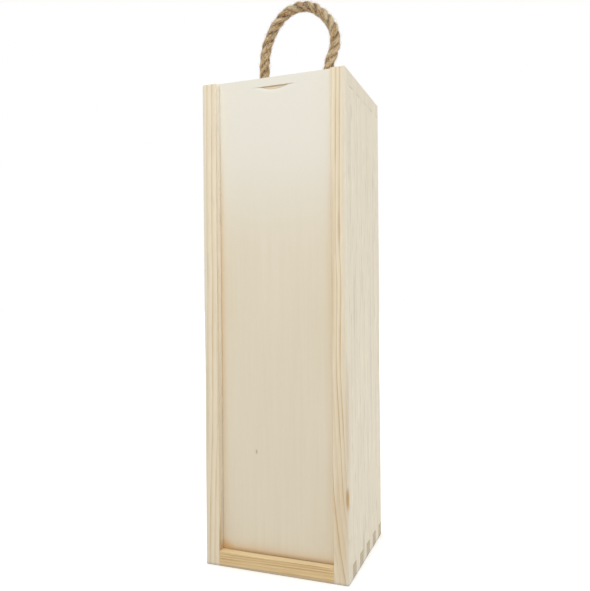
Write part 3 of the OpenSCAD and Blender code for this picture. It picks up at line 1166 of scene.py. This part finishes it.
class WINEBOX_OT_lid(bpy.types.Operator):
    """Cut the sliding lid and its thumb notch"""

    bl_idname = "winebox.lid"
    bl_label = "Sliding lid"

    def execute(self, context):
        ply = context.scene.wine_box_plywood
        points, quads = lid_sheet(ply)
        speck = ((-16.6, LID[0][1], 86.0), (0.9, 1.2, 2.0), ply.glue, 0.7)
        upper_edge = LID[1][2] - ply.notch_drop / MM - 0.4
        # Painted shade under the notch's upper edge, in the glue colour
        painted_notch_shade = ((0.0, LID[0][1], upper_edge), (17.5, 1.6, 0.6), ply.glue, 0.35)
        material = plywood("lid_ply", ply, LID, ply.face, ply.fibre, 0.5, [speck, painted_notch_shade])
        lid = new_piece("lid_panel", points, quads, material)
        crisp(lid)
        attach(lid, "lid")
        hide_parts("sliding_lid")
        return {"FINISHED"}


class WINEBOX_OT_back_panel(bpy.types.Operator):
    """Cut the back panel"""

    bl_idname = "winebox.back_panel"
    bl_label = "Back panel"

    def execute(self, context):
        ply = context.scene.wine_box_plywood
        points, quads = panel_sheet(ply)
        material = plywood("back_ply", ply, BACK_PANEL, ply.panel, ply.core)
        panel = new_piece("rear_panel", points, quads, material)
        crisp(panel)
        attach(panel, "box")
        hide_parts("back_panel")
        return {"FINISHED"}


class WINEBOX_OT_knots(bpy.types.Operator):
    """Tie the rope's two ends under the top board"""

    bl_idname = "winebox.knots"
    bl_label = "Knots"

    def execute(self, context):
        rope = context.scene.wine_box_rope
        material = jute("jute_knots", rope)
        diameter = rope.knot_diameter / MM
        for side, name, seed in ((-1, "left", 7), (1, "right", 8)):
            rng = np.random.default_rng(seed)
            low = KNOTS[name][0][2]
            line = overhand(diameter, CEILING_Z - 0.2, low + 1.5)
            # Each knot is turned its own way
            turn = Matrix.Rotation(math.radians(70 * side - 20), 3, "Z")
            line = line @ np.array(turn).T
            above = np.linspace(BOX_HIGH[2] - 3.5, line[0][2] + 1, 6)
            line = np.vstack([[(0, 0, z) for z in above], line]) + [side * ROPE_X, ROPE_Y, 0]
            centre = flowing(line, 0.7)
            shape = lay_strands(centre, diameter, 0.85 * rope.pitch / MM, 24, rng)
            shape = joined(shape, self.fray(centre, diameter, low, rng))
            piece = rope_piece(f"knot_{name}", shape, material)
            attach(piece, "box")
            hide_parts(f"{name}_knot")
        return {"FINISHED"}

    def fray(self, centre, diameter, low, rng):
        """Fibres that hang from the cut end, and a few from the knot itself."""
        count, at_end = 220, 130
        tail = np.arange(count) < at_end
        spot = np.where(tail, len(centre) - 2, rng.integers(20, len(centre) - 2, count))
        along = unit_rows(np.gradient(centre, axis=0))[spot]
        across = rng.normal(0, 1, (count, 3))
        across = unit_rows(across - along * (across * along).sum(1)[:, None])
        spread = np.where(tail, np.sqrt(rng.uniform(0, 1, count)) * 0.45, 0.47)
        roots = centre[spot] + across * (spread * diameter)[:, None]
        way = np.where(tail[:, None], along, across * 0.6 + along * 0.6)
        lift = across * rng.uniform(0.1, 0.7, count)[:, None]
        reach = np.where(tail, rng.uniform(2, 5, count), rng.uniform(1, 3, count))
        shape = fibres(roots, way, lift, reach, thickness=0.06, rng=rng)
        shape[0][:, 2] = np.clip(shape[0][:, 2], low - 2.5, CEILING_Z - 0.2)
        return shape


class WINEBOX_OT_stage(bpy.types.Operator):
    """Lay the floor and set the light"""

    bl_idname = "winebox.stage"
    bl_label = "Floor and light"

    def execute(self, context):
        stage = context.scene.wine_box_stage
        context.scene.view_settings.view_transform = "Standard"
        self.floor(stage)
        self.world(context, stage)
        self.lamp("key", (0.06, -0.72, 0.86), 0.6, stage.key, stage.key_tint)
        self.lamp("side", (1.5, 0.25, 0.7), 1.2, stage.side, stage.side_tint)
        self.lamp("rear", (-1.2, 1.1, 0.8), 1.2, stage.rear, stage.side_tint)
        return {"FINISHED"}

    def seen(self, f):
        """1 for camera, glossy and transmission rays, which see the plain white surroundings."""
        rays = f.tree.nodes.new("ShaderNodeLightPath").outputs
        camera, glossy, through = (
            Value(f, rays[name]) for name in ("Is Camera Ray", "Is Glossy Ray", "Is Transmission Ray")
        )
        return f.math("MAXIMUM", f.math("MAXIMUM", camera, glossy), through)

    def floor(self, stage):
        """A floor that looks white to the camera and still takes the box's shadow."""
        f = Finish(bpy.data.materials.new("floor"))
        base = f.add("ShaderNodeBsdfDiffuse", {"Color": linear(stage.floor)})
        x, y, _ = f.place("Generated", 2 * FLOOR_REACH)
        x, y = x - FLOOR_REACH, y - FLOOR_REACH
        away = f.math("SQRT", x * x + y * y)
        beside = f.math("MAXIMUM", f.math("ABSOLUTE", x) - BOX_HIGH[0] * MM, 0.0)
        before = f.math("MAXIMUM", f.math("ABSOLUTE", y) - BOX_HIGH[1] * MM, 0.0)
        near = f.math("SQRT", beside * beside + before * before)
        # The glow is weakest beside the box, where the shadow shows, and is full 1.2 m away
        glow = f.step(near, 0.0, 0.012, 0.4, 0.58) + f.step(away, 0.25, 1.2, 0.0, 0.42)
        strength = self.seen(f) * glow
        glow = f.add("ShaderNodeEmission", {"Color": (1, 1, 1, 1), "Strength": strength})
        both = f.add("ShaderNodeAddShader", (base, glow))
        f.wire(f.tree.nodes["Material Output"].inputs["Surface"], both)
        f.tree.nodes.remove(f.tree.nodes["Principled BSDF"])
        half = FLOOR_REACH / MM
        square = [(-half, -half, 0), (half, -half, 0), (half, half, 0), (-half, half, 0)]
        floor = placed("floor", new_mesh("floor", square, [(0, 1, 2, 3)]), f.owner)

    def world(self, context, stage):
        """Even light from all round, which looks plain white to the camera."""
        f = Finish(bpy.data.worlds.new("studio"))
        context.scene.world = f.owner
        light = f.tree.nodes["Background"]
        light.inputs["Color"].default_value = linear(stage.fill_tint)
        light.inputs["Strength"].default_value = stage.fill
        white = f.add("ShaderNodeBackground", {"Color": (1, 1, 1, 1), "Strength": 1.0})
        both = f.add("ShaderNodeMixShader", (self.seen(f), Value(f, light.outputs[0]), white))
        f.wire(f.tree.nodes["World Output"].inputs["Surface"], both)

    def lamp(self, name, place, size, power, colour):
        """A round soft lamp aimed at the middle of the box, with its place and size in metres."""
        light = bpy.data.lights.new(name, "AREA")
        light.shape = "DISK"
        light.size = size
        light.energy = power
        light.color = linear(colour)[:3]
        lamp = placed(name, light)
        lamp.location = place
        aim = Vector((0, 0, 0.2)) - Vector(place)
        lamp.rotation_mode = "QUATERNION"
        lamp.rotation_quaternion = aim.to_track_quat("-Z", "Y")


class WINEBOX_PT_panel(bpy.types.Panel):
    """Sizes, colours and steps of the wine box"""

    bl_idname = "WINEBOX_PT_panel"
    bl_label = "Wine Box"
    bl_space_type = "VIEW_3D"
    bl_region_type = "UI"
    bl_category = "Wine Box"

    def draw(self, context):
        for title, name, _, steps in SECTIONS:
            group = getattr(context.scene, name)
            column = self.layout.box().column()
            column.label(text=title)
            for setting in group.__annotations__:
                column.prop(group, setting)
            for step in steps:
                column.operator(step.bl_idname)


# Each part of the panel: title, name and class of its settings, and its operators
SECTIONS = (
    ("Rope", "wine_box_rope", WineBoxRope, (WINEBOX_OT_handle, WINEBOX_OT_knots)),
    ("Boards", "wine_box_wood", WineBoxWood, (WINEBOX_OT_side_boards, WINEBOX_OT_end_boards)),
    ("Plywood", "wine_box_plywood", WineBoxPlywood, (WINEBOX_OT_lid, WINEBOX_OT_back_panel)),
    ("Stage", "wine_box_stage", WineBoxStage, (WINEBOX_OT_camera, WINEBOX_OT_stage)),
)
SETTINGS = {name: settings for _, name, settings, _ in SECTIONS}
CLASSES = (*SETTINGS.values(), *(step for *_, steps in SECTIONS for step in steps), WINEBOX_PT_panel)


def register():
    """Registers the classes and gives the scene its settings."""
    for cls in CLASSES:
        bpy.utils.register_class(cls)
    for name, settings in SETTINGS.items():
        setattr(bpy.types.Scene, name, PointerProperty(type=settings))


def unregister():
    """Takes back what register() does."""
    for name in SETTINGS:
        delattr(bpy.types.Scene, name)
    for cls in reversed(CLASSES):
        bpy.utils.unregister_class(cls)


def main():
    """Builds the camera, the box and the stage."""
    register()
    bpy.ops.winebox.camera()
    bpy.ops.winebox.handle()
    bpy.ops.winebox.knots()
    bpy.ops.winebox.side_boards()
    bpy.ops.winebox.end_boards()
    bpy.ops.winebox.lid()
    bpy.ops.winebox.back_panel()
    bpy.ops.winebox.stage()


if __name__ == "__main__":
    main()
